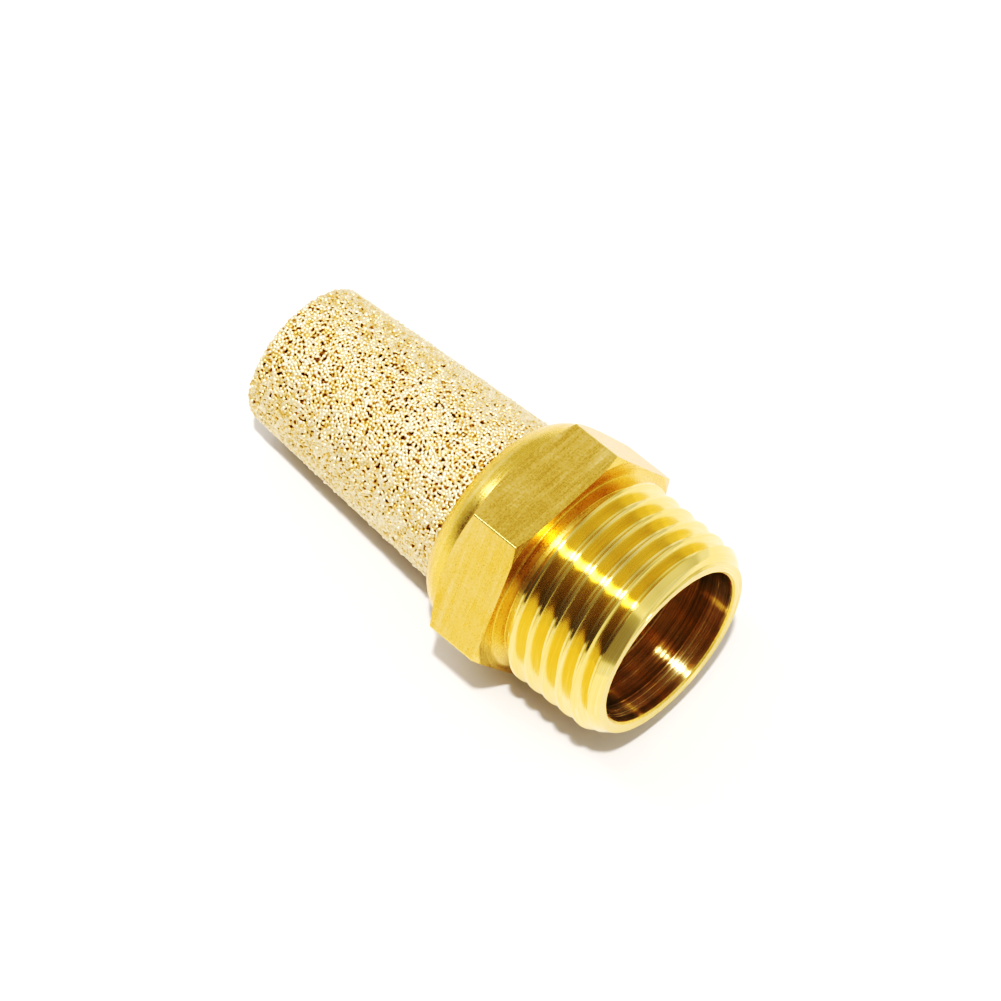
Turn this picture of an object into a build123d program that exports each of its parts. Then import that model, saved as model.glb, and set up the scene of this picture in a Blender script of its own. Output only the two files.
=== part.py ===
"""Pneumatic muffler: a turned brass hex body and the porous bronze cup pressed into it.

Millimetres. The muffler's axis is X and +X leaves through the threaded mouth. x = 0 is the front
shoulder of the hexagon. +Z is up, square to the upper wrench flat.
"""
from build123d import *
import math
import os

# Overall stations along the axis
MOUTH_X = 11.9
HEX_REAR_X = -6.2
COLLAR_REAR_X = -8.8
SEAT_X = -5.2
CUP_END_X = -34.3

# Hexagon
ACROSS_FLATS = 22.225
FRONT_CHAMFER_R = 12.0
FRONT_CHAMFER_LENGTH = 0.3
REAR_CHAMFER_ANGLE = 27.0

# Rounded collar behind the hexagon
COLLAR_ROOT_R = 11.0
COLLAR_CROWN_X = -7.62
COLLAR_CROWN_R = 10.6
COLLAR_LIP_R = 9.7

# Taper pipe thread, 1/2 in size with 14 threads to the inch
THREAD_PITCH = 25.4 / 14
THREAD_DEPTH = 1.162
THREAD_CREST_FLAT = 0.24
THREAD_ROOT_FLAT = 0.2
THREAD_TAPER = 1 / 32
GAUGE_R = 20.955 / 2
GAUGE_FROM_MOUTH = 8.16
CREST_PHASE_X = 3.335
CREST_PHASE_ANGLE = 22.7
THREAD_OVERRUN = 2.0
GROOVE_PROUD = 0.1

# Low land on the shoulder, relief groove in front of it, and the chamfered start of the thread
LAND_R = 10.5
LAND_WIDTH = 0.12
RELIEF_R = 9.35
RELIEF_START_X = 0.6
RELIEF_END_X = 1.05
RELIEF_RAMP = 0.5
MOUTH_FACE_R = 9.15
MOUTH_CHAMFER_LENGTH = 1.55
ENVELOPE_R = 10.9

# Air passage through the body
BORE_R = 8.1
BORE_EDGE_BREAK = 0.2
CUP_SEAT_R = 8.9
CUT_OVERRUN = 1.0

# Porous cup
CUP_END_R = 7.42
CUP_WALL = 1.9
CUP_FLOOR = 2.4
CUP_END_ROUND = 0.3
CUP_HOLLOW_ROUND = 0.6

AXIAL = Plane(origin=(0, 0, 0), x_dir=(0, 1, 0), z_dir=(1, 0, 0))
THREAD_CONE_ANGLE = math.degrees(math.atan(THREAD_TAPER))


def crest_radius(x):
    """Radius of the thread's crest cone at a station on the axis."""
    return GAUGE_R + (MOUTH_X - GAUGE_FROM_MOUTH - x) * THREAD_TAPER


def turned(points):
    """Solid turned about the axis from a closed outline of (x, radius) points."""
    outline = Face(Wire.make_polygon([(x, 0, r) for x, r in points], close=True))
    return revolve(outline, axis=Axis.X)


def hexagon():
    """Hexagonal prism with its corners chamfered in the lathe, front and rear."""
    corner_r = ACROSS_FLATS / math.sqrt(3)
    flat_r = ACROSS_FLATS / 2
    rear_run = (corner_r - flat_r) * math.tan(math.radians(REAR_CHAMFER_ANGLE))
    prism = AXIAL * extrude(RegularPolygon(flat_r, 6, major_radius=False), HEX_REAR_X)
    turned_envelope = turned(
        [
            (0, 0),
            (0, FRONT_CHAMFER_R),
            (-FRONT_CHAMFER_LENGTH, corner_r),
            (HEX_REAR_X + rear_run, corner_r),
            (HEX_REAR_X, flat_r),
            (HEX_REAR_X, 0),
        ]
    )
    return prism & turned_envelope


def collar():
    """Convex collar running from the hexagon's rear face down to the lip around the cup."""
    root = (HEX_REAR_X, 0, COLLAR_ROOT_R)
    crown = (COLLAR_CROWN_X, 0, COLLAR_CROWN_R)
    lip = (COLLAR_REAR_X, 0, COLLAR_LIP_R)
    sweep_edge = Edge.make_three_point_arc(root, crown, lip)
    sides = Wire.make_polygon([lip, (COLLAR_REAR_X, 0, 0), (HEX_REAR_X, 0, 0), root], close=False)
    return revolve(Face(Wire([sweep_edge, *sides.edges()])), axis=Axis.X)


def thread_groove(start_x):
    """Helical V groove between the crests, standing a little proud of the crest cone."""
    length = MOUTH_X + THREAD_OVERRUN - start_x
    flank_slope = (THREAD_PITCH - THREAD_CREST_FLAT - THREAD_ROOT_FLAT) / 2 / THREAD_DEPTH
    half_root = THREAD_ROOT_FLAT / 2
    half_top = half_root + (THREAD_DEPTH + GROOVE_PROUD) * flank_slope
    root_r = crest_radius(start_x) - THREAD_DEPTH
    top_r = crest_radius(start_x) + GROOVE_PROUD
    corners = [(root_r, -half_root), (root_r, half_root), (top_r, half_top), (top_r, -half_top)]
    helices = [
        Helix(THREAD_PITCH, length, r, center=(0, 0, z), cone_angle=-THREAD_CONE_ANGLE).edges()[0]
        for r, z in corners
    ]
    neighbours = helices[1:] + helices[:1]
    walls = [Face.make_surface_from_curves(a, b) for a, b in zip(helices, neighbours)]
    caps = [Face(Wire.make_polygon([edge @ end for edge in helices], close=True)) for end in (0, 1)]
    return Pos(0, 0, start_x) * Solid(Shell(walls + caps))


def threaded_spigot():
    """Tapered male spigot: crest cone with the helix cut in it, ramped at the relief, chamfered."""
    groove_x = CREST_PHASE_X + THREAD_PITCH / 2
    start_x = groove_x - THREAD_PITCH * math.ceil((groove_x + THREAD_OVERRUN) / THREAD_PITCH)
    cone = Solid.make_cone(crest_radius(0), crest_radius(MOUTH_X), MOUTH_X)
    screw = AXIAL * Rot(0, 0, CREST_PHASE_ANGLE) * (cone - thread_groove(start_x))
    chamfer_x = MOUTH_X - MOUTH_CHAMFER_LENGTH
    envelope = turned(
        [
            (RELIEF_END_X, 0),
            (RELIEF_END_X, RELIEF_R),
            (RELIEF_END_X + RELIEF_RAMP, ENVELOPE_R),
            (chamfer_x, ENVELOPE_R),
            (chamfer_x, crest_radius(chamfer_x)),
            (MOUTH_X, MOUTH_FACE_R),
            (MOUTH_X, 0),
        ]
    )
    return screw & envelope


def relief_neck():
    """Neck joining the threaded spigot to the hexagon: a low land, then the relief groove."""
    overlap_x = RELIEF_END_X + RELIEF_RAMP
    return turned(
        [
            (HEX_REAR_X, 0),
            (HEX_REAR_X, LAND_R),
            (LAND_WIDTH, LAND_R),
            (RELIEF_START_X, RELIEF_R),
            (overlap_x, RELIEF_R),
            (overlap_x, 0),
        ]
    )


def air_passage():
    """Smooth bore with a broken edge at the mouth and the cup's seat counterbored behind it."""
    return turned(
        [
            (COLLAR_REAR_X - CUT_OVERRUN, 0),
            (COLLAR_REAR_X - CUT_OVERRUN, CUP_SEAT_R),
            (SEAT_X, CUP_SEAT_R),
            (SEAT_X, BORE_R),
            (MOUTH_X - BORE_EDGE_BREAK, BORE_R),
            (MOUTH_X + CUT_OVERRUN, BORE_R + BORE_EDGE_BREAK + CUT_OVERRUN),
            (MOUTH_X + CUT_OVERRUN, 0),
        ]
    )


def hex_body():
    """One-piece turned body: hexagon, collar, threaded spigot and air passage."""
    return hexagon() + collar() + relief_neck() + threaded_spigot() - air_passage()


def sintered_element():
    """Closed tapered cup, seated against the counterbore's step."""
    outside = turned(
        [
            (SEAT_X, 0),
            (SEAT_X, CUP_SEAT_R),
            (COLLAR_REAR_X, CUP_SEAT_R),
            (CUP_END_X, CUP_END_R),
            (CUP_END_X, 0),
        ]
    )
    rim = outside.edges().filter_by(GeomType.CIRCLE).sort_by(Axis.X)[0]
    outside = fillet(rim, CUP_END_ROUND)
    floor_x = CUP_END_X + CUP_FLOOR
    inside = turned(
        [
            (SEAT_X, 0),
            (SEAT_X, CUP_SEAT_R - CUP_WALL),
            (COLLAR_REAR_X, CUP_SEAT_R - CUP_WALL),
            (floor_x, CUP_END_R - CUP_WALL),
            (floor_x, 0),
        ]
    )
    corner = inside.edges().filter_by(GeomType.CIRCLE).sort_by(Axis.X)[0]
    inside = fillet(corner, CUP_HOLLOW_ROUND)
    return outside - inside


os.makedirs("parts", exist_ok=True)
export_step(hex_body(), "parts/hex_body.step")
export_step(sintered_element(), "parts/sintered_element.step")
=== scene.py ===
import math

import bmesh
import bpy
import numpy as np
import openvdb
from mathutils import Matrix, Vector
from mathutils.kdtree import KDTree


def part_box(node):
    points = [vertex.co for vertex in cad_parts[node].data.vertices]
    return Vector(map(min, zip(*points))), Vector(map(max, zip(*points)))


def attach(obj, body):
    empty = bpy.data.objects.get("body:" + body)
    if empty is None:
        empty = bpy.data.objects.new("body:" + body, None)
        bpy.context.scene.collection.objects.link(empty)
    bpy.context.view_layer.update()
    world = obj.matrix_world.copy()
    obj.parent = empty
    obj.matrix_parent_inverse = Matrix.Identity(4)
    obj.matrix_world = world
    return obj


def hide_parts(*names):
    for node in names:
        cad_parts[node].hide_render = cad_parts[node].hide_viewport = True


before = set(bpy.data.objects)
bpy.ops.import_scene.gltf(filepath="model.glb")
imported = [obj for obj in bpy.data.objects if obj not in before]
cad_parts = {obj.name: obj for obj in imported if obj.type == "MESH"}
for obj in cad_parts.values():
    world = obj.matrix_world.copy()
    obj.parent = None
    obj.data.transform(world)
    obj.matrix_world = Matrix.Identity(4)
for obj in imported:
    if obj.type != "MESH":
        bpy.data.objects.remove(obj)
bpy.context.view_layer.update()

# A pneumatic muffler: a turned brass body with a taper pipe thread, and the porous cup of fused bronze
# beads that is pressed into it. Both are worked out in millimetres about the X axis, which leaves through
# the threaded mouth. x = 0 is the front shoulder of the hexagon.
MM = 0.001
TINY = 1e-6

# ---------------------------------------------------------------- sizes of the turned body
body_low, body_high = [np.array(corner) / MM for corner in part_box("hex_body")]
cup_low, cup_high = [np.array(corner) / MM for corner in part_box("sintered_element")]

# Hexagon, with HALF_SIDE the angle from the middle of a flat to a corner
MOUTH_X = body_high[0]
FLAT_R = body_high[2]
SIDES = 6
HALF_SIDE = math.pi / SIDES
CORNER_R = FLAT_R / math.cos(HALF_SIDE)
HEX_REAR_X = -6.2
FRONT_CHAMFER_R, FRONT_CHAMFER = 12.0, 0.3
REAR_CHAMFER = math.radians(27.0)
EDGE_ROUND = 0.2
EDGE_SPAN = EDGE_ROUND / 2 / CORNER_R

# Rounded collar, with its crown as (x, radius)
COLLAR_REAR_X = body_low[0]
COLLAR_ROOT_R, COLLAR_CROWN, COLLAR_LIP_R = 11.0, (-7.62, 10.6), 9.7
LIP_BREAK = 0.05

# Taper pipe thread, its relief and its chamfered start. The crest passes angle CREST_PHI at CREST_X, and
# EDGE_EASE softens the ends of the flanks.
PITCH = 25.4 / 14
THREAD_DEPTH, CREST_HALF, ROOT_HALF = 1.162, 0.12, 0.1
EDGE_EASE = 0.012
TAPER = 1 / 32
GAUGE_R, GAUGE_X = 20.955 / 2, MOUTH_X - 8.16
CREST_X, CREST_PHI = 3.335, math.radians(22.7)
TURNS = range(-4, 7)
LAND_R, LAND_WIDTH = 10.5, 0.12
RELIEF_R, RELIEF_START, RELIEF_END = 9.35, 0.6, 1.05
RELIEF_RAMP, ENVELOPE_R = 0.5, 10.9
MOUTH_FACE_R, MOUTH_CHAMFER = 9.15, 1.55
BORE_R, BORE_BREAK = 8.1, 0.2

# Small breaks and fillets of turned corners, as (x, radius) steps away from each corner
RIM_BREAK = [(0.0, 0.0), (0.0, -0.09), (-0.03, -0.14)]
SHOULDER_BREAK = [(-0.012, -0.01), (0.0, -0.03)]
LAND_FOOT = [(0.0, 0.05), (0.02, 0.0)]
LAND_EDGE = [(-0.03, 0.0), (0.02, -0.04)]
RELIEF_FOOT = [(-0.03, 0.06), (0.05, 0.0)]

# Mesh of the turned body: columns beside a corner as shares of its round, first column on a flat in
# degrees and how many there are, rows across half a thread in millimetres measured from the crest's
# middle, and how many rings there are along the bore, the collar and the flats
CORNER_COLUMNS = [0.25, 0.5, 0.75, 1.0, 1.3]
FIRST_COLUMN, FLAT_COLUMNS = 1.0, 79
HALF_THREAD = [0.07, CREST_HALF, 0.15, 0.19, 0.25, 0.33, 0.42, 0.51, 0.6, 0.67, 0.73, 0.78, 0.81, 0.86]
BORE_RINGS, COLLAR_RINGS, FLAT_RINGS = 9, 14, 4
WELD = 2e-6
SHARP_ANGLE = math.radians(24)

# ---------------------------------------------------------------- sizes of the sintered cup
CUP_END_X = cup_low[0]
SEAT_X = cup_high[0]
SEAT_R = cup_high[2]
CUP_END_R, CUP_WALL, CUP_FLOOR, CUP_ROUND = 7.42, 1.9, 2.4, 0.3
HOLLOW_END_X = CUP_END_X + CUP_FLOOR

# Paths that the bead centres follow: least round at the far rim, overlap under the collar, inset at the
# open end, and the gap left at the axis
LEAST_ROUND, ROUND_STEPS = 0.15, 6
COLLAR_OVERLAP = 0.5
MOUTH_INSET = 0.6
AXIS_GAP = 0.12

# Layers of beads: on the outer side or not, depth under the face, fill, and deepest sink below that.
# PROUD_SHARE of the beads stand proud. ROW_GAP and the shakes are shares of the spacing in a row, and
# beads are pushed apart until they are TOUCH of their two radii away from each other.
LAYERS = [(True, 0.2, 0.91, 0.1), (True, 0.45, 0.86, 0.06), (False, 0.2, 0.86, 0.1)]
SEED = 7
BEAD_R = (0.165, 0.22)
SETTLED_R = 0.2
PROUD, PROUD_SHARE = 0.09, 0.1
END_SLACK = 0.1
ROW_GAP = 0.866
SHAKE, END_SHAKE = 0.28, 0.34
RELAX_STEPS, TOUCH, PUSH = 7, 0.95, 0.45
NEAR_AXIS = 0.3
PATH_SAMPLES = 4000

# Solid core behind the beads, and the field that fuses them: FUSE is the width of the necks between
# beads, FIELD_MARGIN is in voxels and FUSE_REACH in widths of a neck
CORE_DEPTH, CORE_INSIDE, CORE_CLIP = 0.62, 0.3, 0.5
VOXEL, FIELD_MARGIN = 0.075, 4
FUSE, FUSE_REACH = 0.014, 4
LEAST_SUM = 1e-12

# Baking map: the cup unrolled into two strips, each with its start on the map, its length and its lead
# in millimetres. Within END_ZONE of the far end the outer strip runs on towards the axis.
BAKE_TURN, BAKE_BAND = 0.985, 0.47
OUTER_STRIP, OUTER_LEAD = (0.01, 35.5), 1
INNER_STRIP, INNER_LEAD = (0.51, 36.0), 2
END_ZONE = 1

# ---------------------------------------------------------------- brass finishes
FLATS, TURNED, THREAD, BORE, EDGES = range(5)
FLAT_TONES = [(0.2, (0.62, 0.36, 0.05)), (0.5, (0.75, 0.50, 0.14)), (0.8, (0.85, 0.66, 0.32))]
RING_TONES = [(0.2, (0.63, 0.38, 0.06)), (0.5, (0.77, 0.52, 0.13)), (0.8, (0.87, 0.68, 0.29))]
GOLD_TONES = [(0.2, (0.76, 0.54, 0.12)), (0.5, (0.84, 0.64, 0.22)), (0.8, (0.91, 0.76, 0.40))]
BORE_TONES = [(0.2, (0.58, 0.36, 0.12)), (0.5, (0.88, 0.65, 0.27)), (0.8, (1.0, 0.86, 0.52))]

# One finish for each kind of face, in the order above. rough is the roughness from the dark lines to the
# bright ones and bump its strength and distance. fine is tool lines to the millimetre, stretch how soon
# they change round the axis, drawn the anisotropy, and grain the share of fine specks.
FINISHES = [
    {
        "name": "brass_brushed_flats", "tones": FLAT_TONES, "rough": (0.2, 0.42), "bump": (0.9, 1e-5),
        "fine": 9.0, "stretch": 3.0, "use_radius": False, "drawn": 0.3, "grain": 0.3,
        "contrast": 1.6, "coat": 0.0,
    },
    {
        "name": "brass_turned", "tones": RING_TONES, "rough": (0.2, 0.36), "bump": (0.8, 1e-5),
        "fine": 11.0, "stretch": 0.8, "use_radius": True, "drawn": 0.6, "grain": 0.25,
        "contrast": 1.8, "coat": 0.0,
    },
    {
        "name": "brass_thread", "tones": GOLD_TONES, "rough": (0.12, 0.17), "bump": (0.05, 8e-6),
        "fine": 9.0, "stretch": 0.5, "use_radius": True, "drawn": 0.9, "grain": 0.0,
        "contrast": 1.2, "coat": 0.15,
    },
    {
        "name": "brass_bore", "tones": BORE_TONES, "rough": (0.16, 0.29), "bump": (1.0, 2e-5),
        "fine": 7.0, "stretch": 0.35, "use_radius": True, "drawn": 1.0, "grain": 0.05,
        "contrast": 2.2, "coat": 0.1,
    },
    # Rounded edges and rim breaks: a smoother coated finish (real), with lighter gold tones than the
    # flats and turned faces as a painted highlight along them.
    {
        "name": "brass_edges_painted_highlight", "tones": GOLD_TONES, "rough": (0.2, 0.3), "bump": (0.1, 8e-6),
        "fine": 9.0, "stretch": 0.5, "use_radius": True, "drawn": 1.0, "grain": 0.05,
        "contrast": 1.0, "coat": 0.2,
    },
]
COAT_ROUGHNESS = 0.2
QUARTER_TURN = 0.25
LINE_DETAIL, BROAD_DETAIL = 3.0, 2.0
BROAD_FINE, BROAD_STRETCH = 5, 2
BROAD_SHARE, CLOUD_SHARE = 0.25, 0.25
CLOUD_SCALE, CLOUD_DETAIL = 260.0, 3.0
SPECK_SCALE, SPECK_DETAIL, SPECK_HEIGHT = 5200.0, 2.0, 5
MIDTONES = (0.3, 0.7)

# ---------------------------------------------------------------- bronze finish: the beads' own colour, darkened by depth in millimetres as painted shade in the crevices and pores
BEAD_TONES_WITH_PAINTED_SHADE = [
    (0.0, (0.83, 0.73, 0.51)),
    (0.09, (0.77, 0.64, 0.38)),
    (0.16, (0.70, 0.47, 0.16)),
    (0.27, (0.40, 0.21, 0.05)),
    (0.44, (0.14, 0.055, 0.012)),
]
BEAD_METAL = 0.75
BEAD_ROUGH = (0.34, 0.52)
TINT_SCALE, TINT_DETAIL, TINT_DEPTH = 1500.0, 1.0, 0.2
GRAIN_SCALE, GRAIN_DETAIL = 9000.0, 2.0
GRAIN_BUMP, GRAIN_HEIGHT = 0.25, 0.00002

# ---------------------------------------------------------------- floor, light and camera
FLOOR_RADIUS, FLOOR_SEGMENTS = 0.25, 96
FLOOR_COLOUR, FLOOR_ROUGHNESS = (0.77, 0.74, 0.705, 1), 0.9
STEEPEST, SLOPE_STEPS = 0.3, 40
KEY_ALONG, KEY_ACROSS, KEY_POWER, KEY_ANGLE = 0.119, -0.196, 3.1, 2.5

# Light from the two sides of the studio, as (share of straight up, level)
SHADED_SKY = [(0.0, 1.2), (0.13, 1.2), (0.16, 0.12), (0.6, 0.2), (0.8, 0.42), (0.93, 0.68)]
OPEN_SKY = [(0.0, 1.2), (0.13, 1.2), (0.22, 0.75), (0.55, 1.0), (0.7, 0.95), (0.85, 0.55)]
SKY_GAIN = 2.0

# Screens, glow and strip light: levels, and the stretch of a unit direction over which each one fades in
SIDE_FADE = (-0.4, 0.2)
BACK_SCREEN, BACK_FADE = 0.8, (-0.46, -0.6)
SHADED_SCREEN, SHADED_FADE = 0.8, (-0.68, -0.85)
FRONT_SCREEN, FRONT_FADE = 0.38, (0.25, 0.6)
OVERHEAD_FADE = (0.3, 0.4)
GLOW, GLOW_START, GLOW_FULL, GLOW_END = 0.5, 0.405, 0.41, 0.64
STRIP_Y, STRIP_HALF, STRIP_SOFT, STRIP_POWER = -0.18, 0.03, 0.08, 11.0
STRIP_REAR, STRIP_FRONT = (-0.8, -0.6), (0.2, 0.4)

# Tone curve, as (light, shown) points, with white where the backdrop is
TONE_WHITE = 1.25
TONE_POINTS = [(0.1, 0.035), (0.2, 0.14), (0.4, 0.39), (0.7, 0.665), (0.9, 0.805), (1.1, 0.925)]

# Camera: azimuth, elevation and roll in degrees, place along its own axes and lens in millimetres
CAMERA_ANGLES = (48.479, 57.776, -4.935)
CAMERA_OFFSET = (-6.4996, 6.2060, 401.165)
CAMERA_LENS, CAMERA_SENSOR = 162.36, 36
CAMERA_CLIP = 0.01


def add_object(name, data):
    """Object for a mesh, light or camera, linked to the scene."""
    obj = bpy.data.objects.new(name, data)
    bpy.context.scene.collection.objects.link(obj)
    return obj


def new_mesh(name, verts, faces):
    """Smooth mesh object from millimetre vertices and quads."""
    mesh = bpy.data.meshes.new(name)
    verts = np.asarray(verts, np.float32) * MM
    faces = np.asarray(faces, np.int32)
    mesh.vertices.add(len(verts))
    mesh.vertices.foreach_set("co", verts.ravel())
    width = faces.shape[1]
    mesh.loops.add(faces.size)
    mesh.loops.foreach_set("vertex_index", faces.ravel())
    mesh.polygons.add(len(faces))
    mesh.polygons.foreach_set("loop_start", np.arange(0, faces.size, width, dtype=np.int32))
    mesh.polygons.foreach_set("use_smooth", np.full(len(faces), True))
    mesh.update(calc_edges=True)
    mesh.validate()
    return add_object(name, mesh)


# ---------------------------------------------------------------- turned brass body
def column_angles():
    """Column angles round the axis: close together at the hexagon's corners."""
    side = 360 / SIDES
    corner = np.degrees(EDGE_SPAN) * np.array(CORNER_COLUMNS)
    inner = np.linspace(FIRST_COLUMN, side - FIRST_COLUMN, FLAT_COLUMNS)
    one = np.concatenate([[0.0], corner, inner, side - corner[::-1]])
    return np.radians(np.concatenate([one + side * k for k in range(SIDES)]))


PHI = column_angles()
COLUMNS = len(PHI)


def hexagon_radius():
    """Radius of the hexagon at each column, its long edges slightly rounded."""
    within = np.mod(PHI, 2 * HALF_SIDE) - HALF_SIDE
    off_corner = HALF_SIDE - np.abs(within)
    centre = CORNER_R - EDGE_ROUND / math.cos(HALF_SIDE)
    reach = np.maximum(EDGE_ROUND**2 - (centre * np.sin(off_corner)) ** 2, 0)
    rounded = centre * np.cos(off_corner) + np.sqrt(reach)
    return np.where(off_corner < EDGE_SPAN, rounded, FLAT_R / np.cos(within))


def on_corner():
    """True for the quads that lie on the hexagon's rounded long edges."""
    middle = PHI + np.diff(np.append(PHI, 2 * math.pi)) / 2
    return np.abs(np.mod(middle + HALF_SIDE, 2 * HALF_SIDE) - HALF_SIDE) < EDGE_SPAN


def crest_radius(x):
    """Radius of the thread's crest cone at a station on the axis."""
    return GAUGE_R + (GAUGE_X - x) * TAPER


def thread_depth(x):
    """Depth of the thread below its crest cone at a station, one value per column."""
    along = x - CREST_X - PITCH * (PHI - CREST_PHI) / (2 * math.pi)
    offset = np.abs(np.mod(along + PITCH / 2, PITCH) - PITCH / 2)
    run = PITCH / 2 - CREST_HALF - ROOT_HALF
    t = np.clip((offset - CREST_HALF) / run, 0, 1)
    return THREAD_DEPTH * (t - EDGE_EASE * np.sin(2 * math.pi * t))


def thread_radius(x):
    """Radius of the finished thread: cut groove, relief ramp and chamfered start."""
    ramp_r = RELIEF_R + (x - RELIEF_END) * (ENVELOPE_R - RELIEF_R) / RELIEF_RAMP
    start = MOUTH_X - MOUTH_CHAMFER
    slope = (crest_radius(start) - MOUTH_FACE_R) / MOUTH_CHAMFER
    limit = np.minimum(ramp_r, crest_radius(start) - (x - start) * slope)
    return np.minimum(crest_radius(x) - thread_depth(x), limit)


class Rings:
    """Collects rings of vertices round the axis and joins them with quads."""

    def __init__(self):
        self.verts, self.faces, self.marks = [], [], []

    def ring(self, x, r):
        """Adds one ring. The station and the radius are numbers, or one value per column."""
        x = np.broadcast_to(x, PHI.shape)
        r = np.broadcast_to(r, PHI.shape)
        self.verts.append(np.stack([x, r * np.cos(PHI), r * np.sin(PHI)], 1))
        return np.arange(COLUMNS) + COLUMNS * (len(self.verts) - 1)

    def join(self, a, b, mark, next_turn=None):
        """Quads between two rings. On a helix the last column meets the next turn's rings."""
        a2, b2 = np.roll(a, -1), np.roll(b, -1)
        if next_turn is not None:
            a2[-1], b2[-1] = next_turn[0][0], next_turn[1][0]
        self.faces.append(np.stack([a, b, b2, a2], 1))
        marks = np.full(COLUMNS, mark)
        # faces on the hexagon's rounded edges take the edge finish, whose lighter colour is a painted
        # highlight
        if mark == FLATS:
            marks[on_corner()] = EDGES
        self.marks.append(marks)

    def helix(self, rows, turns, mark):
        """Helical rings clipped to the threaded length."""
        lines = []
        for turn in turns:
            for offset in rows:
                x = CREST_X + PITCH * (turn + (PHI - CREST_PHI) / (2 * math.pi)) + offset
                x = np.clip(x, RELIEF_END, MOUTH_X)
                lines.append(self.ring(x, thread_radius(x)))
        n = len(rows)
        for i in range(len(lines) - 1 - n):
            self.join(lines[i], lines[i + 1], mark, (lines[i + n], lines[i + 1 + n]))

    def chain(self, stations, mark, last=None):
        """Rings at (x, radius) stations, joined in turn. Returns the last ring."""
        for x, r in stations:
            ring = self.ring(x, r)
            if last is not None:
                self.join(last, ring, mark)
            last = ring
        return last


def arc_stations(a, mid, b, steps):
    """Points on the circle through three (x, radius) points, from a to b."""
    (ax, ar), (mx, mr), (bx, br) = a, mid, b
    d = 2 * (ax * (mr - br) + mx * (br - ar) + bx * (ar - mr))
    sa, sm, sb = ax * ax + ar * ar, mx * mx + mr * mr, bx * bx + br * br
    cx = (sa * (mr - br) + sm * (br - ar) + sb * (ar - mr)) / d
    cr = (sa * (bx - mx) + sm * (ax - bx) + sb * (mx - ax)) / d
    t0, t1 = math.atan2(ar - cr, ax - cx), math.atan2(br - cr, bx - cx)
    radius = math.hypot(ax - cx, ar - cr)
    turns = np.linspace(t0, t1, steps)
    return [(cx + radius * math.cos(t), cr + radius * math.sin(t)) for t in turns]


def broken_edge(x, r, steps):
    """Stations that stand for the corner at (x, r), each one a small step away from it."""
    return [(x + along, r + out) for along, out in steps]


def mouth_and_bore(rings):
    """Mouth face with its broken rim, the bore, and the counterbore for the cup."""
    rim = thread_radius(np.full(COLUMNS, MOUTH_X))
    last = rings.chain(broken_edge(MOUTH_X, rim, RIM_BREAK), EDGES)
    face_x = MOUTH_X + RIM_BREAK[-1][0]
    last = rings.chain([(face_x, BORE_R + BORE_BREAK)], EDGES, last)
    edge_x = MOUTH_X - BORE_BREAK
    last = rings.chain([(edge_x, BORE_R)], TURNED, last)
    last = rings.chain([(x, BORE_R) for x in np.linspace(edge_x, SEAT_X, BORE_RINGS)[1:]], BORE, last)
    return rings.chain([(SEAT_X, SEAT_R), (COLLAR_REAR_X, SEAT_R)], BORE, last)


def collar(rings, last):
    """Flat lip round the cup, and the rounded collar up to the hexagon."""
    root = (HEX_REAR_X, COLLAR_ROOT_R)
    lip = (COLLAR_REAR_X, COLLAR_LIP_R)
    last = rings.chain([(COLLAR_REAR_X, COLLAR_LIP_R - LIP_BREAK)], TURNED, last)
    return rings.chain(arc_stations(lip, COLLAR_CROWN, root, COLLAR_RINGS), TURNED, last)


def hexagon(rings, last):
    """Rear chamfer, flats, front chamfer and shoulder. The shoulder ends at the foot of the land."""
    hex_r = hexagon_radius()
    crease_x = HEX_REAR_X + (hex_r - FLAT_R) * math.tan(REAR_CHAMFER)
    last = rings.chain([(HEX_REAR_X, FLAT_R), (crease_x, hex_r)], TURNED, last)
    front_r = np.minimum(hex_r, FRONT_CHAMFER_R)
    front_x = (front_r - hex_r) * FRONT_CHAMFER / (CORNER_R - FRONT_CHAMFER_R)
    steps = [crease_x + (front_x - crease_x) * k / FLAT_RINGS for k in range(1, FLAT_RINGS + 1)]
    last = rings.chain([(x, hex_r) for x in steps], FLATS, last)
    last = rings.chain(broken_edge(0, front_r, SHOULDER_BREAK), TURNED, last)
    return rings.chain(broken_edge(0, LAND_R, LAND_FOOT), TURNED, last)


def land_and_relief(rings, last):
    """Low land in front of the shoulder, and the relief groove up to the thread."""
    last = rings.chain(broken_edge(LAND_WIDTH, LAND_R, LAND_EDGE), TURNED, last)
    last = rings.chain(broken_edge(RELIEF_START, RELIEF_R, RELIEF_FOOT), TURNED, last)
    return rings.chain([(RELIEF_END, RELIEF_R)], TURNED, last)


def body_mesh():
    """The turned body as one closed mesh, each face marked with its finish."""
    rings = Rings()
    one_pitch = [0.0, *HALF_THREAD, *[PITCH - half for half in reversed(HALF_THREAD)]]
    rings.helix(one_pitch, TURNS, THREAD)
    last = mouth_and_bore(rings)
    last = collar(rings, last)
    last = hexagon(rings, last)
    land_and_relief(rings, last)

    obj = new_mesh("hex_body_turned", np.concatenate(rings.verts), np.concatenate(rings.faces))
    obj.data.polygons.foreach_set("material_index", np.concatenate(rings.marks).astype(np.int32))
    work = bmesh.new()
    work.from_mesh(obj.data)
    bmesh.ops.remove_doubles(work, verts=work.verts, dist=WELD)
    bmesh.ops.dissolve_degenerate(work, edges=work.edges, dist=WELD / 2)
    bmesh.ops.recalc_face_normals(work, faces=work.faces)
    work.to_mesh(obj.data)
    work.free()
    obj.data.set_sharp_from_angle(angle=SHARP_ANGLE)
    return obj


# ---------------------------------------------------------------- sintered cup
def outer_radius(x):
    """Radius of the cup's outer face at a station."""
    t = np.clip((COLLAR_REAR_X - x) / (COLLAR_REAR_X - CUP_END_X), 0, 1)
    return SEAT_R + (CUP_END_R - SEAT_R) * t


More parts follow.
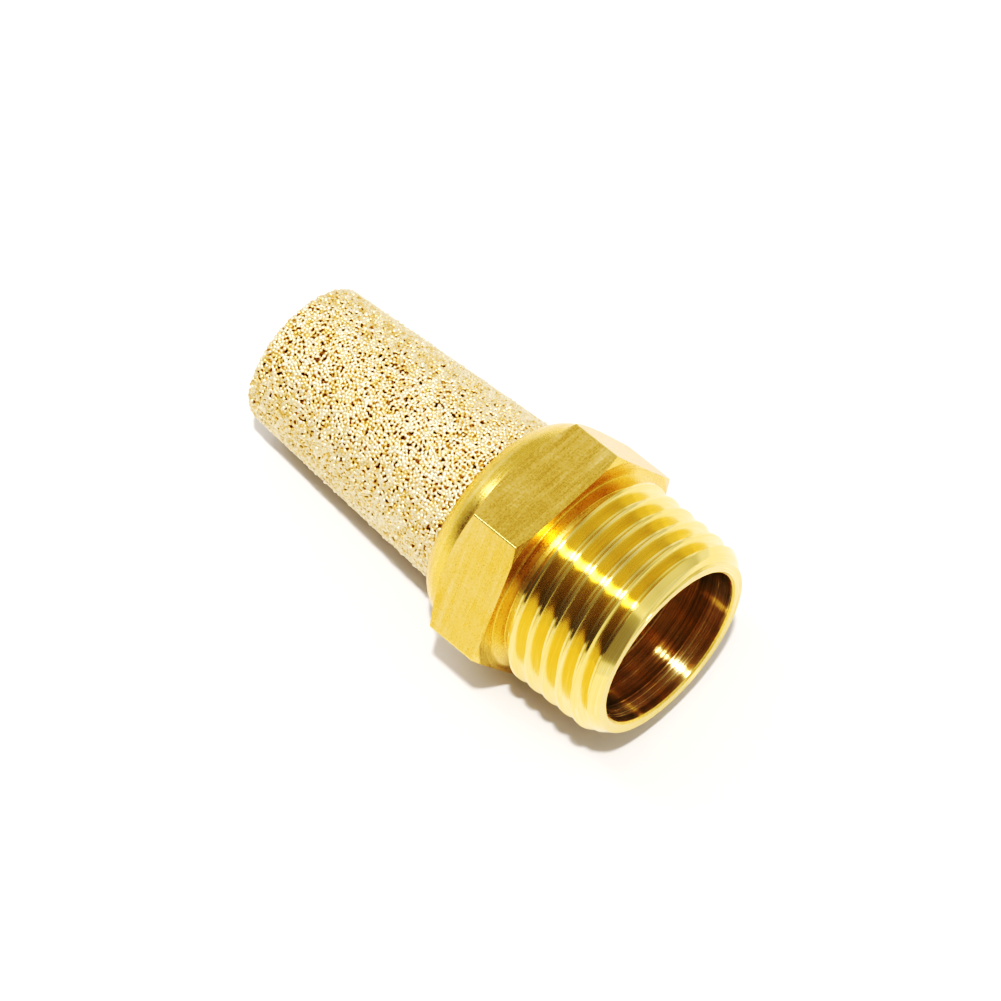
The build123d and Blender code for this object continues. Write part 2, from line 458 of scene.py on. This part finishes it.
def inner_radius(x):
    """Radius of the cup's inner face at a station."""
    t = np.clip((COLLAR_REAR_X - x) / (COLLAR_REAR_X - HOLLOW_END_X), 0, 1)
    return SEAT_R - CUP_WALL + (CUP_END_R - SEAT_R) * t


def outer_path(depth):
    """Outline of bead centres under the cup's outer face, from the collar to the end's middle."""
    end_x = CUP_END_X + depth
    corner = max(CUP_ROUND - depth, LEAST_ROUND)
    line = [(COLLAR_REAR_X + COLLAR_OVERLAP, SEAT_R - depth), (COLLAR_REAR_X, SEAT_R - depth)]
    turn_x = end_x + corner
    turn_r = CUP_END_R - depth - corner
    for t in np.linspace(0, math.pi / 2, ROUND_STEPS):
        line.append((turn_x - corner * math.sin(t), turn_r + corner * math.cos(t)))
    return np.array([*line, (end_x, AXIS_GAP)])


def inner_path(depth):
    """Outline of bead centres behind the cup's inner face, from its open end to the floor."""
    wall = SEAT_R - CUP_WALL
    return np.array(
        [
            (SEAT_X - depth, SEAT_R - MOUTH_INSET),
            (SEAT_X - depth, wall + depth),
            (COLLAR_REAR_X, wall + depth),
            (HOLLOW_END_X - depth, CUP_END_R - CUP_WALL + depth),
            (HOLLOW_END_X - depth, AXIS_GAP),
        ]
    )


def bead_pushes(where, size):
    """How far each bead is pushed by the neighbours that it overlaps."""
    tree = KDTree(len(where))
    points = where.tolist()
    for i, point in enumerate(points):
        tree.insert(point, i)
    tree.balance()
    push = np.zeros((len(where), 3))
    for i, point in enumerate(points):
        for other, j, gap in tree.find_range(point, size[i] + BEAD_R[1]):
            want = (size[i] + size[j]) * TOUCH
            if j != i and TINY < gap < want:
                share = PUSH * (want - gap) / gap
                push[i] += [(a - b) * share for a, b in zip(point, other)]
    return push


def scatter(path, fill, rng):
    """Beads of mixed size jostled into an even cover of the surface a path sweeps round the axis."""
    runs = np.diff(path, axis=0)
    length = np.hypot(runs[:, 0], runs[:, 1])
    reach = np.concatenate([[0], np.cumsum(length)])
    fine = np.linspace(0, reach[-1], PATH_SAMPLES)
    fine_r = np.interp(fine, reach, path[:, 1])
    step = (BEAD_R[0] + BEAD_R[1]) / 2 * math.sqrt(math.pi / ROW_GAP / fill)

    # rows of evenly spaced beads, each bead at a distance s along the path and an angle phi
    s, phi = [], []
    for station in np.arange(0.5, reach[-1] / (ROW_GAP * step)) * ROW_GAP * step:
        round_it = max(1, round(2 * math.pi * np.interp(station, fine, fine_r) / step))
        s.append(np.full(round_it, station))
        phi.append((np.arange(round_it) + rng.random()) * 2 * math.pi / round_it)
    s, phi = np.concatenate(s), np.concatenate(phi)
    count = len(s)
    size = rng.uniform(BEAD_R[0], BEAD_R[1], count)
    around = np.maximum(np.interp(s, fine, fine_r), NEAR_AXIS)
    shake = np.where(s > reach[-1] - CUP_END_R, END_SHAKE, SHAKE) * step
    s = np.clip(s + rng.normal(0, 1, count) * shake, 0, reach[-1])
    phi = phi + rng.normal(0, 1, count) * shake / around

    def places():
        """Radius and position of every bead."""
        x = np.interp(s, reach, path[:, 0])
        r = np.interp(s, reach, path[:, 1])
        return r, np.stack([x, r * np.cos(phi), r * np.sin(phi)], 1)

    # the beads push each other apart, and slide back onto the surface
    for _ in range(RELAX_STEPS):
        r, where = places()
        push = bead_pushes(where, size)
        index = np.clip(np.searchsorted(reach, s, side="right") - 1, 0, len(runs) - 1)
        tangent = runs[index] / length[index][:, None]
        radial = push[:, 1] * np.cos(phi) + push[:, 2] * np.sin(phi)
        around = -push[:, 1] * np.sin(phi) + push[:, 2] * np.cos(phi)
        s = np.clip(s + push[:, 0] * tangent[:, 0] + radial * tangent[:, 1], 0, reach[-1])
        phi = phi + around / np.maximum(r, NEAR_AXIS)
    return places()[1], size


def layer_of_beads(outer, depth, fill, deepest, rng):
    """Centres and radii of one layer. Some beads sink into the wall and a few stand proud."""
    points, size = scatter(outer_path(depth) if outer else inner_path(depth), fill, rng)
    sink = rng.random(len(points)) ** 2 * deepest + (size - SETTLED_R)
    sink -= PROUD * (rng.random(len(points)) < PROUD_SHARE)
    end_x = CUP_END_X + depth if outer else HOLLOW_END_X - depth
    on_end = points[:, 0] < end_x + END_SLACK
    inward = -1.0 if outer else 1.0
    across = np.hypot(points[:, 1], points[:, 2])
    scale = np.where(on_end, 1.0, 1 + inward * sink / np.maximum(across, 1.0))
    points[:, 1:] *= scale[:, None]
    points[:, 0] += np.where(on_end, -inward * (sink + PROUD), 0)
    return points, size


def core_distance(x, r):
    """Signed distance to the solid middle of the wall, buried under the beads."""
    jacket = np.maximum(r - (outer_radius(x) - CORE_DEPTH), CUP_END_X + CORE_DEPTH - x)
    hollow = np.maximum(r - (inner_radius(x) + CORE_INSIDE), HOLLOW_END_X - CORE_INSIDE - x)
    return np.maximum(np.maximum(jacket, x - SEAT_X + CORE_INSIDE), -hollow)


def bead_field(centres, radii):
    """Distance field of the fused beads on a regular grid. Returns the field and its origin."""
    low = np.array([CUP_END_X, -SEAT_R, -SEAT_R]) - FIELD_MARGIN * VOXEL
    high = np.array([SEAT_X, SEAT_R, SEAT_R]) + FIELD_MARGIN * VOXEL
    shape = np.ceil((high - low) / VOXEL).astype(int) + 1
    axes = [low[k] + VOXEL * np.arange(shape[k], dtype=np.float32) for k in range(3)]
    across = np.hypot(axes[1][:, None], axes[2][None, :])
    total = np.empty(shape, np.float32)
    for i, x in enumerate(axes[0]):
        total[i] = np.exp(-np.clip(core_distance(x, across), -CORE_CLIP, CORE_CLIP) / FUSE)
    margin = FUSE_REACH * FUSE
    for centre, radius in zip(centres, radii):
        a = np.maximum(np.ceil((centre - radius - margin - low) / VOXEL).astype(int), 0)
        b = np.minimum(np.floor((centre + radius + margin - low) / VOXEL).astype(int) + 1, shape)
        dx = axes[0][a[0]:b[0], None, None] - centre[0]
        dy = axes[1][None, a[1]:b[1], None] - centre[1]
        dz = axes[2][None, None, a[2]:b[2]] - centre[2]
        gap = np.sqrt(dx * dx + dy * dy + dz * dz) - radius
        total[a[0]:b[0], a[1]:b[1], a[2]:b[2]] += np.exp(-gap / FUSE)
    return -FUSE * np.log(np.maximum(total, LEAST_SUM)), low


def main_shell(verts, faces):
    """The largest connected shell, without the sealed bubbles and crumbs between the beads."""
    label = np.arange(len(verts))
    a, b = faces.ravel(), np.roll(faces, -1, axis=1).ravel()
    while len(a):
        low = np.minimum(label[a], label[b])
        np.minimum.at(label, label[a], low)
        np.minimum.at(label, label[b], low)
        jump = label[label]
        while (jump != label).any():
            label = jump
            jump = label[label]
        apart = label[a] != label[b]
        a, b = a[apart], b[apart]
    keep = label == np.bincount(label).argmax()
    renumber = np.cumsum(keep) - 1
    return verts[keep], renumber[faces[keep[faces[:, 0]]]]


def cup_mesh():
    """The cup of fused beads. Returns the object with its vertices, in millimetres, and its quads."""
    rng = np.random.default_rng(SEED)
    layers = [layer_of_beads(*layer, rng) for layer in LAYERS]
    centres = np.concatenate([points for points, size in layers])
    radii = np.concatenate([size for points, size in layers])
    field, low = bead_field(centres, radii)
    grid = openvdb.FloatGrid(1.0)
    grid.copyFromArray(field)
    verts, faces = main_shell(*grid.convertToQuads(isovalue=0.0))
    verts = verts.astype(np.float64) * VOXEL + low
    verts[:, 0] = np.clip(verts[:, 0], CUP_END_X, SEAT_X)
    return new_mesh("sintered_cup", verts, faces), verts, faces


def strip_place(along, strip):
    """Place across the baking map of a length along one of its strips."""
    start, length = strip
    return start + BAKE_BAND * np.clip(along / length, 0, 1)


def cup_attributes(obj, verts, faces):
    """Depth below the cup's faces, which darkens the colour as painted shade in the pores, and a
    cylindrical map for baking.
    """
    x, across = verts[:, 0], np.hypot(verts[:, 1], verts[:, 2])
    outside = np.minimum(outer_radius(x) - across, x - CUP_END_X)
    inside = np.maximum(across - inner_radius(x), HOLLOW_END_X - x)
    inside = np.minimum(inside, np.maximum(SEAT_X - x, 0))
    layer = obj.data.attributes.new("depth", "FLOAT", "POINT")
    layer.data.foreach_set("value", np.minimum(outside, inside).astype(np.float32))

    inner_side = (inside < outside)[faces].mean(1) > 0.5
    to_axis = outer_radius(x) - across
    along_out = (COLLAR_REAR_X + OUTER_LEAD - x) + to_axis * (x < CUP_END_X + END_ZONE)
    along_in = (SEAT_X - x) + np.maximum(inner_radius(x) - across, 0) + INNER_LEAD
    u = (np.arctan2(verts[:, 2], verts[:, 1]) / (2 * math.pi) + 0.5)[faces]
    over_seam = (u.max(1) - u.min(1) > 0.5)[:, None] & (u < 0.5)
    u = np.where(over_seam, u + 1, u) * BAKE_TURN
    v_out, v_in = strip_place(along_out, OUTER_STRIP), strip_place(along_in, INNER_STRIP)
    v = np.where(inner_side[:, None], v_in[faces], v_out[faces])
    bake = obj.data.uv_layers.new(name="OFBake")
    bake.data.foreach_set("uv", np.stack([u, v], 2).astype(np.float32).ravel())


# ---------------------------------------------------------------- shader helpers
def node(tree, kind, inputs=None, **settings):
    """Adds a node; inputs are sockets to link from or plain values, by name or index."""
    made = tree.nodes.new(kind)
    for key, value in settings.items():
        setattr(made, key, value)
    for key, value in (inputs or {}).items():
        if isinstance(value, bpy.types.NodeSocket):
            tree.links.new(value, made.inputs[key])
        else:
            made.inputs[key].default_value = value
    return made


def math_node(tree, operation, a, b=0.0):
    """Result of one operation on sockets or numbers."""
    return node(tree, "ShaderNodeMath", {0: a, 1: b}, operation=operation).outputs[0]


def noise(tree, vector, scale, detail):
    """Noise value, from 0 to 1 with its middle at 0.5."""
    inputs = {"Vector": vector, "Scale": scale, "Detail": detail}
    return node(tree, "ShaderNodeTexNoise", inputs).outputs[0]


def mix(tree, share, a, b, blend="MIX"):
    """Colour a with a share of colour b blended in."""
    return node(tree, "ShaderNodeMixRGB", {0: share, 1: a, 2: b}, blend_type=blend).outputs[0]


def ramp(tree, source, stops):
    """Colour ramp from (position, colour) stops."""
    made = node(tree, "ShaderNodeValToRGB", {0: source})
    elements = made.color_ramp.elements
    while len(elements) < len(stops):
        elements.new(0.5)
    for element, (position, colour) in zip(elements, stops):
        element.position = position
        element.color = (*colour, 1)
    return made.outputs[0]


def scale_range(tree, source, before, after=(0.0, 1.0)):
    """Maps the range before onto the range after, clamped to it."""
    ends = {1: before[0], 2: before[1], 3: after[0], 4: after[1]}
    return node(tree, "ShaderNodeMapRange", {0: source, **ends}).outputs[0]


def new_material(name):
    """Empty material. Returns it with its node tree and its shader."""
    mat = bpy.data.materials.new(name)
    mat.use_nodes = True
    return mat, mat.node_tree, mat.node_tree.nodes["Principled BSDF"]


# ---------------------------------------------------------------- materials
def polar(tree):
    """Position on the part, then its axial station, angle and radius in millimetres and radians."""
    place = node(tree, "ShaderNodeTexCoord").outputs["Object"]
    xyz = node(tree, "ShaderNodeSeparateXYZ", {0: place}).outputs
    x = math_node(tree, "MULTIPLY", xyz[0], 1 / MM)
    angle = math_node(tree, "ARCTAN2", xyz[2], xyz[1])
    y_square = math_node(tree, "MULTIPLY", xyz[1], xyz[1])
    z_square = math_node(tree, "MULTIPLY", xyz[2], xyz[2])
    square = math_node(tree, "ADD", y_square, z_square)
    radius = math_node(tree, "MULTIPLY", math_node(tree, "SQRT", square), 1 / MM)
    return place, x, angle, radius


def weighted(tree, layers):
    """Sum of textures, each times its share."""
    total = 0.0
    for texture, share in layers:
        total = math_node(tree, "ADD", math_node(tree, "MULTIPLY", texture, share), total)
    return total


def tool_lines(tree, x, angle, radius, fine, stretch, detail):
    """Noise drawn out into lines that run round the axis."""
    parts = {0: (x, fine), 1: (angle, stretch)}
    if radius is not None:
        parts[2] = (radius, fine)
    scaled = {axis: math_node(tree, "MULTIPLY", source, by) for axis, (source, by) in parts.items()}
    return noise(tree, node(tree, "ShaderNodeCombineXYZ", scaled).outputs[0], 1.0, detail)


def brass(name, tones, rough, bump, fine, stretch, use_radius, drawn, grain, contrast, coat):
    """Machined brass: tool lines in colour, roughness, bump and a sheen drawn across the lines."""
    mat, tree, shader = new_material(name)
    place, x, angle, radius = polar(tree)
    radius = radius if use_radius else None
    lines = tool_lines(tree, x, angle, radius, fine, stretch, LINE_DETAIL)
    broad_fine, broad_stretch = fine / BROAD_FINE, stretch / BROAD_STRETCH
    broad = tool_lines(tree, x, angle, radius, broad_fine, broad_stretch, BROAD_DETAIL)
    cloud = noise(tree, place, CLOUD_SCALE, CLOUD_DETAIL)
    speck = noise(tree, place, SPECK_SCALE, SPECK_DETAIL)
    line_share = 1 - BROAD_SHARE - CLOUD_SHARE - grain
    shares = [(lines, line_share), (broad, BROAD_SHARE), (cloud, CLOUD_SHARE), (speck, grain)]
    spread = (0.5 - 0.5 / contrast, 0.5 + 0.5 / contrast)
    mixed = scale_range(tree, weighted(tree, shares), spread)
    tree.links.new(ramp(tree, mixed, tones), shader.inputs["Base Color"])
    tree.links.new(scale_range(tree, mixed, MIDTONES, rough), shader.inputs["Roughness"])
    shader.inputs["Metallic"].default_value = 1.0
    shader.inputs["Coat Weight"].default_value = coat
    shader.inputs["Coat Roughness"].default_value = COAT_ROUGHNESS
    shader.inputs["Anisotropic"].default_value = drawn
    shader.inputs["Anisotropic Rotation"].default_value = QUARTER_TURN
    tangent = node(tree, "ShaderNodeTangent", direction_type="RADIAL", axis="X")
    tree.links.new(tangent.outputs[0], shader.inputs["Tangent"])
    specks = math_node(tree, "MULTIPLY", speck, grain * SPECK_HEIGHT)
    height = math_node(tree, "ADD", lines, specks)
    relief = {"Height": height, "Strength": bump[0], "Distance": bump[1]}
    tree.links.new(node(tree, "ShaderNodeBump", relief).outputs[0], shader.inputs["Normal"])
    return mat


def bead_bronze():
    """Sintered bronze: pale round beads, darkened with depth below the face as painted shade in the
    crevices and pores.
    """
    mat, tree, shader = new_material("sintered_bronze_beads")
    depth = node(tree, "ShaderNodeAttribute", attribute_name="depth").outputs["Fac"]
    place = node(tree, "ShaderNodeTexCoord").outputs["Object"]
    tint = noise(tree, place, TINT_SCALE, TINT_DETAIL)
    grain = noise(tree, place, GRAIN_SCALE, GRAIN_DETAIL)
    shift = math_node(tree, "MULTIPLY", math_node(tree, "SUBTRACT", tint, 0.5), TINT_DEPTH)
    level = math_node(tree, "ADD", depth, shift)
    # the darker tones at depth are painted shade in the crevices and pores
    tree.links.new(ramp(tree, level, BEAD_TONES_WITH_PAINTED_SHADE), shader.inputs["Base Color"])
    shader.inputs["Metallic"].default_value = BEAD_METAL
    tree.links.new(scale_range(tree, grain, MIDTONES, BEAD_ROUGH), shader.inputs["Roughness"])
    relief = {"Height": grain, "Strength": GRAIN_BUMP, "Distance": GRAIN_HEIGHT}
    tree.links.new(node(tree, "ShaderNodeBump", relief).outputs[0], shader.inputs["Normal"])
    return mat


# ---------------------------------------------------------------- floor, light and camera
def side_view(name):
    """X and Z of every vertex of a CAD node, in metres."""
    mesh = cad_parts[name].data
    co = np.empty(len(mesh.vertices) * 3)
    mesh.vertices.foreach_get("co", co)
    return co.reshape(-1, 3)[:, [0, 2]]


def resting_line():
    """Slope and height of the line that touches the hexagon and the cup's far rim from below."""
    near, far = side_view("hex_body"), side_view("sintered_element")
    low, high = -STEEPEST, STEEPEST
    for _ in range(SLOPE_STEPS):
        mid = (low + high) / 2
        under_near = (near[:, 1] - mid * near[:, 0]).min()
        under_far = (far[:, 1] - mid * far[:, 0]).min()
        low, high = (low, mid) if under_far > under_near else (mid, high)
    return mid, under_near


def make_floor(tilt, height):
    """Plain round floor under the tipped part."""
    mesh = bpy.data.meshes.new("floor")
    work = bmesh.new()
    bmesh.ops.create_circle(work, cap_ends=True, segments=FLOOR_SEGMENTS, radius=FLOOR_RADIUS)
    work.to_mesh(mesh)
    work.free()
    obj = add_object("floor", mesh)
    obj.rotation_euler = (0, -tilt, 0)
    obj.location = (0, 0, height)
    paper, _, shader = new_material("pale_floor")
    shader.inputs["Base Color"].default_value = FLOOR_COLOUR
    shader.inputs["Roughness"].default_value = FLOOR_ROUGHNESS
    mesh.materials.append(paper)
    return obj


def key_light(up):
    """Soft sun that leans a little towards the mouth and the near side."""
    along = Vector((up.z, 0, -up.x))
    source = (up + KEY_ALONG * along + KEY_ACROSS * Vector((0, 1, 0))).normalized()
    sun = bpy.data.lights.new("key", "SUN")
    sun.energy = KEY_POWER
    sun.angle = math.radians(KEY_ANGLE)
    key = add_object("key", sun)
    key.rotation_mode = "QUATERNION"
    key.rotation_quaternion = source.to_track_quat("Z", "Y")


def grey(level):
    """Colour of a light level. Ramps stop at 1, so the world's strength makes up for SKY_GAIN."""
    return (level / SKY_GAIN,) * 3


def sky_sides(tree, xyz, height):
    """Shaded and open sides of the studio, with a screen behind each and a fill in front."""
    shaded = ramp(tree, height, [(z, grey(level)) for z, level in SHADED_SKY])
    bright = ramp(tree, height, [(z, grey(level)) for z, level in OPEN_SKY])
    behind = scale_range(tree, xyz[0], BACK_FADE)
    bright = mix(tree, behind, bright, (*grey(BACK_SCREEN), 1))
    far_behind = scale_range(tree, xyz[0], SHADED_FADE)
    shaded = mix(tree, far_behind, shaded, (*grey(SHADED_SCREEN), 1))
    ahead = scale_range(tree, xyz[0], FRONT_FADE)
    shaded = mix(tree, ahead, shaded, (*grey(FRONT_SCREEN), 1), "LIGHTEN")
    return mix(tree, scale_range(tree, xyz[1], SIDE_FADE), shaded, bright)


def studio_world(up):
    """White to the camera; a soft studio with a darker side to everything the lights reach."""
    world = bpy.data.worlds.new("studio")
    bpy.context.scene.world = world
    world.use_nodes = True
    tree = world.node_tree
    tree.nodes.clear()
    direction = node(tree, "ShaderNodeTexCoord").outputs["Generated"]
    xyz = node(tree, "ShaderNodeSeparateXYZ", {0: direction}).outputs
    rise = node(tree, "ShaderNodeVectorMath", {0: direction, 1: up}, operation="DOT_PRODUCT")
    height = rise.outputs["Value"]
    overhead = scale_range(tree, height, OVERHEAD_FADE)

    # broad glow overhead, brightest at its near edge
    glow_stops = [(0.0, grey(0)), (GLOW_START, grey(0)), (GLOW_FULL, grey(GLOW)), (GLOW_END, grey(0))]
    glow = ramp(tree, scale_range(tree, xyz[1], (-1.0, 1.0)), glow_stops)
    sky = mix(tree, overhead, sky_sides(tree, xyz, height), glow, "ADD")

    # narrow strip light above the part
    off_strip = math_node(tree, "ABSOLUTE", math_node(tree, "SUBTRACT", xyz[1], STRIP_Y))
    across = scale_range(tree, off_strip, (STRIP_HALF, STRIP_SOFT), (1.0, 0.0))
    rear_end = scale_range(tree, xyz[0], STRIP_REAR)
    front_end = scale_range(tree, xyz[0], STRIP_FRONT, (1.0, 0.0))
    ends = math_node(tree, "MULTIPLY", rear_end, front_end)
    strip = math_node(tree, "MULTIPLY", math_node(tree, "MULTIPLY", across, overhead), ends)
    sky = mix(tree, strip, sky, (*grey(STRIP_POWER), 1))

    lit = node(tree, "ShaderNodeBackground", {"Color": sky, "Strength": SKY_GAIN})
    plain = node(tree, "ShaderNodeBackground", {"Color": (1, 1, 1, 1), "Strength": TONE_WHITE})
    seen = node(tree, "ShaderNodeLightPath").outputs["Is Camera Ray"]
    either = node(tree, "ShaderNodeMixShader", {0: seen, 1: lit.outputs[0], 2: plain.outputs[0]})
    node(tree, "ShaderNodeOutputWorld", {0: either.outputs[0]})


def make_camera():
    """Long lens looking down at the mouth's near side, slightly rolled."""
    azimuth, elevation, roll = [math.radians(a) for a in CAMERA_ANGLES]
    back = Vector(
        (
            math.sin(azimuth) * math.cos(elevation),
            -math.cos(azimuth) * math.cos(elevation),
            math.sin(elevation),
        )
    )
    level = Vector((0, 0, 1)).cross(back).normalized()
    over = back.cross(level)
    right = level * math.cos(roll) + over * math.sin(roll)
    over = over * math.cos(roll) - level * math.sin(roll)
    lens = bpy.data.cameras.new("camera")
    lens.lens = CAMERA_LENS
    lens.sensor_width = CAMERA_SENSOR
    lens.clip_start = CAMERA_CLIP
    camera = add_object("camera", lens)
    place = (right * CAMERA_OFFSET[0] + over * CAMERA_OFFSET[1] + back * CAMERA_OFFSET[2]) * MM
    camera.matrix_world = Matrix.Translation(place) @ Matrix((right, over, back)).transposed().to_4x4()
    bpy.context.scene.camera = camera


def set_tones():
    """Photographic contrast: deep tones fall off and bright ones roll over gently to white."""
    view = bpy.context.scene.view_settings
    view.view_transform = "Standard"
    view.look = "None"
    view.use_curve_mapping = True
    mapping = view.curve_mapping
    mapping.white_level = (TONE_WHITE, TONE_WHITE, TONE_WHITE)
    combined = mapping.curves[3]
    for light, shown in TONE_POINTS:
        combined.points.new(light / TONE_WHITE, shown)
    mapping.update()


# ---------------------------------------------------------------- pieces on the frame
body = body_mesh()
for finish in FINISHES:
    body.data.materials.append(brass(**finish))
cup, cup_verts, cup_faces = cup_mesh()
cup_attributes(cup, cup_verts, cup_faces)
cup.data.materials.append(bead_bronze())

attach(body, "root")
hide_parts("hex_body")
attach(cup, "root")
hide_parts("sintered_element")

# ---------------------------------------------------------------- scene, with the part lying tipped
floor_slope, floor_height = resting_line()
floor_tilt = math.atan(floor_slope)
floor_up = Vector((-math.sin(floor_tilt), 0, math.cos(floor_tilt)))
floor = make_floor(floor_tilt, floor_height)
key_light(floor_up)
studio_world(floor_up)
make_camera()
set_tones()
